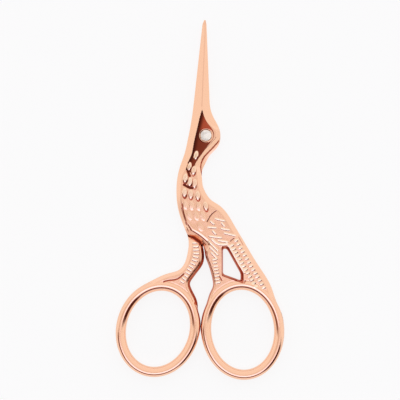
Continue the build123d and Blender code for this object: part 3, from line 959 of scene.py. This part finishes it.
def tones(places, name):
    """Painted shade, painted dark reflection and painted highlight of a half's outer sheet, how grained
    it is, and the painted shade of its inner one.
    """
    half = HALVES[name]
    y = places[:, 1]
    _, light, dark = carving(places, name)
    on_plate = ~inside(half["rod_oval"], places)
    field = border(places, name)[1] * on_plate

    # The sunk panel is painted dark as a reflection of dark surroundings: darkest at its left side,
    # lighter to the right and above, and cleared on a feather's painted highlight
    sunk = inside(panel_loop, places) & (np.hypot(*places.T) > RIM_OUTER)
    above = ramp(y, *PANEL_DARK_HEIGHTS)
    start, end, farther_end = PANEL_FADE
    rightward = ramp(past_panel_left(places), start, end + farther_end * above)
    panel_painted_reflection = mix(PANEL_DARK, mix(*PANEL_DARK_RIGHT, above), rightward)
    dark = np.where(sunk, panel_painted_reflection * ramp(light, *PANEL_LIGHT), dark)
    # Painted shade near the edge of the steep thigh or knee wall
    width = np.where(on_plate, half["wall_shape"][0][1], ROD_WALL_WIDTH)
    dark = np.maximum(dark, WALL_DARK * ramp(half["wall_edge"](places) / width, *WALL_FADE))
    if name == "front":
        # The tail hole's sloping wall is painted dark as shade
        dark = np.where(inside(hole_top, places), HOLE_DARK, dark)
        # Painted shade along the front's belly edge
        dark = np.maximum(dark, BELLY_DARK * ramp(belly_distance(places), *BELLY_FADE))
        return dark, light, field, np.zeros(len(places))
    # Painted shadow on the back half's inner face beside the front's throat edge
    beyond = past_front(places)
    top, full, bottom = THROAT_DARK_DEPTHS
    throat_shadow = THROAT_DARK * (beyond > 0) * ramp(beyond, *THROAT_FADE)
    throat_shadow = throat_shadow * ramp(-y, top, full) * (-y < bottom)
    # Painted contact shadow on the back half along the front's belly
    contact = CONTACT_DARK * ramp(belly_distance(places), *CONTACT_FADE)
    return dark, light, field, np.maximum(throat_shadow, contact)


def build_half(name, node):
    """Closed skin of a half, shaded by the slopes of the true surface."""
    places, triangles, rim = clean_plan(name)
    count = len(places)
    outward = -to_left(unit(places[rim[:, 1]] - places[rim[:, 0]]))
    side_normals = np.zeros((count, 2))
    for k in (0, 1):
        np.add.at(side_normals, rim[:, k], outward)
    side_normals = unit(side_normals)
    upper, lower = sheets(places, name)
    (upper_x, lower_x), (upper_y, lower_y) = slopes(places - RIM_STEP * side_normals, name)
    vertices = np.concatenate([np.column_stack([places, upper]), np.column_stack([places, lower])])
    normals = unit(np.concatenate([np.column_stack([-upper_x, -upper_y, np.ones(count)]),
                                   np.column_stack([lower_x, lower_y, -np.ones(count)])]))

    faces = np.concatenate([triangles, triangles[:, ::-1] + count])
    walls = np.column_stack([rim[:, 1], rim[:, 0], rim[:, 0] + count, rim[:, 1] + count])
    a, b, c = (vertices[faces[:, k]] for k in range(3))
    face_normals = unit(np.cross(b - a, c - a))[:, None]
    loop_normals = normals[faces]
    agree = (loop_normals * face_normals).sum(2)
    loop_normals = np.where(agree[..., None] < FLAT_COSINE, face_normals, loop_normals)
    wall_sides = side_normals[walls % count]
    wall_flat = outward[:, None]
    agree = (wall_sides * wall_flat).sum(2)
    wall_sides = np.where(agree[..., None] < WALL_COSINE, wall_flat, wall_sides)
    wall_normals = np.pad(wall_sides, ((0, 0), (0, 0), (0, 1)))

    mesh = bpy.data.meshes.new(name + "_half_skin")
    shifted = vertices * MM + (PIVOT.x, PIVOT.y, 0)
    mesh.from_pydata(shifted.tolist(), [], faces.tolist() + walls.tolist())
    loops = np.concatenate([loop_normals.reshape(-1, 3), wall_normals.reshape(-1, 3)])
    mesh.shade_smooth()
    mesh.normals_split_custom_set(loops.tolist())
    # Painted shade, painted dark reflection and painted highlight go into attributes; the inner sheet
    # takes the outer sheet's paint except where the halves lie on each other, and adds its own painted
    # shadow
    dark, light, field, inner_painted_shade = tones(places, name)
    room = inside(front_room if name == "front" else back_room, places)
    for title, outer, under in (("dark", dark, inner_painted_shade), ("light", light, 0), ("field", field, 0)):
        inner = np.maximum(np.where(room, 0, outer), under)
        values = np.concatenate([outer, inner] if name == "front" else [inner, outer])
        mesh.attributes.new(title, "FLOAT", "POINT").data.foreach_set("value", values)
    piece = add_object(name + "_half_skin", mesh)
    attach(piece, name)
    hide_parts(node)
    return piece


def add_object(name, data):
    made = bpy.data.objects.new(name, data)
    bpy.context.scene.collection.objects.link(made)
    return made


# Colours
GOLD_TONES = (0.985, 0.575, 0.385, 1), (0.955, 0.59, 0.4, 1)
FIELD_TONES = (0.95, 0.54, 0.345, 1), (0.92, 0.56, 0.385, 1)
# Colours of the painted shade, painted shadow and painted dark reflection: red-brown, near black where
# darkest
PAINTED_SHADE_TONES = (0.46, 0.085, 0.04, 1), (0.54, 0.11, 0.055, 1)
PAINTED_DARKEST = (0.06, 0.01, 0.006, 1)
# Pale colour of the painted highlight on raised tops
GLINT = (1, 0.8, 0.6, 1)
STEEL_TONES = (1, 0.96, 0.9, 1), (0.74, 0.7, 0.66, 1)
FLOOR_TONES = (0.97, 0.97, 0.97, 1), (0.99, 0.99, 0.99, 1)
WHITE = (1, 1, 1, 1)
# Fades of the dark attribute into the painted shade colours
PAINTED_DARKEST_FADE = (0.35, 1.0)
PAINTED_SHADE_FADE = (0.02, 0.25)
SHINE = (0.07, 0.15)       # roughness, least and most
SCREW_SHINE = (0.1, 0.2)
FIELD_ROUGHNESS = 0.1
GRAIN = 0.04               # share of the fine bumps
NOISE_RANGE = (0.3, 0.7)   # that most of a noise lies in
SMUDGE_RANGE = (0.45, 0.65)
FLOOR_GLOW = 0.84          # share of the floor's seen white that no shadow takes

# The studio that the metal mirrors, by the slope of the metal that shows each part of it:
# the colour of each, and the slopes over which it starts or ends
ZENITH, ZENITH_EDGE = (0.87, 0.83, 0.82, 1), (0.05, 0.14)
HORIZON, HORIZON_EDGE = (1.03, 1.08, 1.14, 1), (0.55, 0.9)
SPOT, SPOT_SLOPE, SPOT_EDGE = (0.72, 0.62, 0.58, 1), -0.16, (0.04, 0.12)
LAMP, LAMP_SLOPE = (1.6, 1.65, 2.3, 1), -0.03
LAMP_START, LAMP_END, LAMP_SIDE = (-0.23, -0.17), (-0.07, -0.04), (0.1, 0.16)
# Dark cards: bearing in the picture, the cosines over which each starts, the slopes over which
# it starts and ends, and its colour
CARDS = [
    (-95, (0.05, 0.45), (0.26, 0.34), (0.58, 0.7), (0.22, 0.1, 0.14, 1)),
    (-158, (0.935, 0.98), (0.2, 0.28), (0.58, 0.7), (0.26, 0.12, 0.09, 1)),
    (-36, (0.925, 0.98), (0.14, 0.23), (0.78, 0.92), (0.09, 0.02, 0.012, 1)),
]


class Graph:
    """Short way to add nodes and links to a node tree."""

    def __init__(self, owner):
        self.owner = owner
        owner.use_nodes = True
        self.tree = owner.node_tree
        self.tree.nodes.clear()

    def node(self, kind, inputs=None, **settings):
        made = self.tree.nodes.new("ShaderNode" + kind)
        for key, value in settings.items():
            setattr(made, key, value)
        for key, value in (inputs or {}).items():
            if isinstance(value, bpy.types.NodeSocket):
                self.tree.links.new(value, made.inputs[key])
            else:
                made.inputs[key].default_value = value
        return made

    def math(self, operation, *values):
        return self.node("Math", dict(enumerate(values)), operation=operation).outputs[0]

    def product(self, *values):
        return self.math("MULTIPLY", *values)

    def length(self, x, y):
        return self.math("SQRT", self.math("ADD", self.product(x, x), self.product(y, y)))

    def fade(self, value, low, high, start=0, end=1):
        inputs = {"Value": value, "From Min": low, "From Max": high, "To Min": start, "To Max": end}
        return self.node("MapRange", inputs, interpolation_type="SMOOTHSTEP").outputs[0]

    def fade_out(self, value, low, high):
        return self.fade(value, low, high, 1, 0)

    def blend(self, share, first, second):
        return self.node("Mix", {0: share, 6: first, 7: second}, data_type="RGBA").outputs[2]

    def noise(self, scale, detail=2):
        place = self.node("TexCoord").outputs["Object"]
        return self.node("TexNoise", {"Vector": place, "Scale": scale, "Detail": detail}).outputs["Fac"]

    def bump(self, height, strength, distance):
        inputs = {"Height": height, "Strength": strength, "Distance": distance}
        return self.node("Bump", inputs).outputs[0]

    def metal(self, colour, roughness, bump):
        return self.node("BsdfPrincipled", {
            "Base Color": colour, "Metallic": 1, "Roughness": roughness, "Normal": bump})

    def finish(self, shader, kind="OutputMaterial"):
        self.tree.links.new(shader.outputs[0], self.node(kind).inputs["Surface"])
        return self.owner


def rose_gold():
    graph = Graph(bpy.data.materials.new("rose_gold_plate"))
    dark, light, field = (graph.node("Attribute", attribute_name=title).outputs["Fac"]
                          for title in ("dark", "light", "field"))
    tone = graph.blend(graph.noise(90), *GOLD_TONES)
    cast = graph.blend(graph.noise(420, 3), *FIELD_TONES)
    # Painted highlight: raised tops blend towards the pale glint colour
    colour = graph.blend(light, graph.blend(field, tone, cast), GLINT)
    # Painted shade and painted dark reflection: the dark attribute blends towards red-brown and near
    # black
    painted_shade_colour = graph.blend(graph.noise(300), *PAINTED_SHADE_TONES)
    painted_shade_colour = graph.blend(graph.fade(dark, *PAINTED_DARKEST_FADE), painted_shade_colour, PAINTED_DARKEST)
    colour = graph.blend(graph.fade(dark, *PAINTED_SHADE_FADE), colour, painted_shade_colour)
    shine = graph.fade(graph.noise(700, 4), *NOISE_RANGE, *SHINE)
    roughness = graph.math("ADD", shine, graph.product(field, FIELD_ROUGHNESS))
    grain = graph.product(graph.noise(1500, 3), GRAIN)
    waves = graph.product(graph.noise(700), field)
    bump = graph.bump(graph.math("ADD", grain, waves), 0.5, 0.00006)
    return graph.finish(graph.metal(colour, roughness, bump))


def steel():
    graph = Graph(bpy.data.materials.new("screw_steel"))
    smudges = graph.fade(graph.noise(650, 3), *SMUDGE_RANGE)
    roughness = graph.fade(graph.noise(1500, 4), *NOISE_RANGE, *SCREW_SHINE)
    bump = graph.bump(graph.noise(900, 3), 0.4, 0.0001)
    return graph.finish(graph.metal(graph.blend(smudges, *STEEL_TONES), roughness, bump))


def floor_material():
    """White floor that keeps a light shadow."""
    graph = Graph(bpy.data.materials.new("white_floor"))
    tone = graph.blend(graph.noise(40), *FLOOR_TONES)
    matt = graph.node("BsdfDiffuse", {"Color": tone})
    glow = graph.node("Emission", {"Color": WHITE, "Strength": 1})
    path = graph.node("LightPath")
    seen = graph.math("MAXIMUM", path.outputs["Is Camera Ray"], path.outputs["Is Glossy Ray"])
    seen = graph.math("MAXIMUM", seen, path.outputs["Is Transmission Ray"])
    share = graph.product(seen, FLOOR_GLOW)
    return graph.finish(graph.node("MixShader", {0: share, 1: matt.outputs[0], 2: glow.outputs[0]}))


def build_world():
    """White studio with a lamp just below the camera in the picture, a spot and dark cards."""
    graph = Graph(bpy.data.worlds.new("studio"))
    x, y, z = graph.node("SeparateXYZ", {0: graph.node("TexCoord").outputs["Generated"]}).outputs
    reach = graph.math("MAXIMUM", graph.math("ADD", z, 1), 0.05)
    across = graph.math("DIVIDE", x, reach)
    along = graph.math("DIVIDE", y, reach)
    radius = graph.length(across, along)
    size = graph.math("MAXIMUM", radius, 0.001)

    colour = graph.blend(graph.fade(radius, *ZENITH_EDGE), ZENITH, WHITE)
    colour = graph.blend(graph.fade(radius, *HORIZON_EDGE), colour, HORIZON)
    off_spot = graph.length(graph.math("SUBTRACT", across, SPOT_SLOPE), along)
    colour = graph.blend(graph.fade_out(off_spot, *SPOT_EDGE), colour, SPOT)
    for bearing, cosines, inner, outer, card_colour in CARDS:
        turn = math.radians(bearing)
        towards = graph.math("ADD", graph.product(across, math.cos(turn)),
                             graph.product(along, math.sin(turn)))
        ring = graph.product(graph.fade(radius, *inner), graph.fade_out(radius, *outer))
        card = graph.product(ring, graph.fade(graph.math("DIVIDE", towards, size), *cosines))
        colour = graph.blend(card, colour, card_colour)
    lamp = graph.product(graph.fade(along, *LAMP_START), graph.fade_out(along, *LAMP_END))
    aside = graph.math("ABSOLUTE", graph.math("SUBTRACT", across, LAMP_SLOPE))
    colour = graph.blend(graph.product(lamp, graph.fade_out(aside, *LAMP_SIDE)), colour, LAMP)
    path = graph.node("LightPath")
    colour = graph.blend(path.outputs["Is Camera Ray"], colour, WHITE)
    glow = graph.node("Background", {"Color": colour, "Strength": 1})
    return graph.finish(glow, "OutputWorld")


# Floor and camera, in metres but for the sensor
FLOOR_HALF = 1.5
VIEW_WIDTH = 0.1281
CAMERA_HEIGHT = 0.6
FOCUS_HEIGHT = 0.0022
SENSOR = 36


def build_floor():
    mesh = bpy.data.meshes.new("floor")
    corners = [(x * FLOOR_HALF, y * FLOOR_HALF, 0) for x, y in ((-1, -1), (1, -1), (1, 1), (-1, 1))]
    mesh.from_pydata(corners, [], [(0, 1, 2, 3)])
    mesh.materials.append(floor_material())
    return add_object("floor", mesh)


def build_camera():
    data = bpy.data.cameras.new("camera")
    data.sensor_width = SENSOR
    data.lens = SENSOR * (CAMERA_HEIGHT - FOCUS_HEIGHT) / VIEW_WIDTH
    camera = add_object("camera", data)
    camera.location = (0, 0, CAMERA_HEIGHT)
    return camera


front = build_half("front", "front_half")
back = build_half("back", "back_half")
plate = rose_gold()
for piece in (front, back):
    piece.data.materials.append(plate)
screw = frame["nodes"]["pivot_screw"]
screw_finish = steel()
if not screw.material_slots:
    screw.data.materials.append(screw_finish)
for slot in screw.material_slots:
    slot.material = screw_finish

bpy.context.scene.world = build_world()
floor = build_floor()
bpy.context.scene.camera = build_camera()
bpy.context.scene.view_settings.view_transform = "Standard"
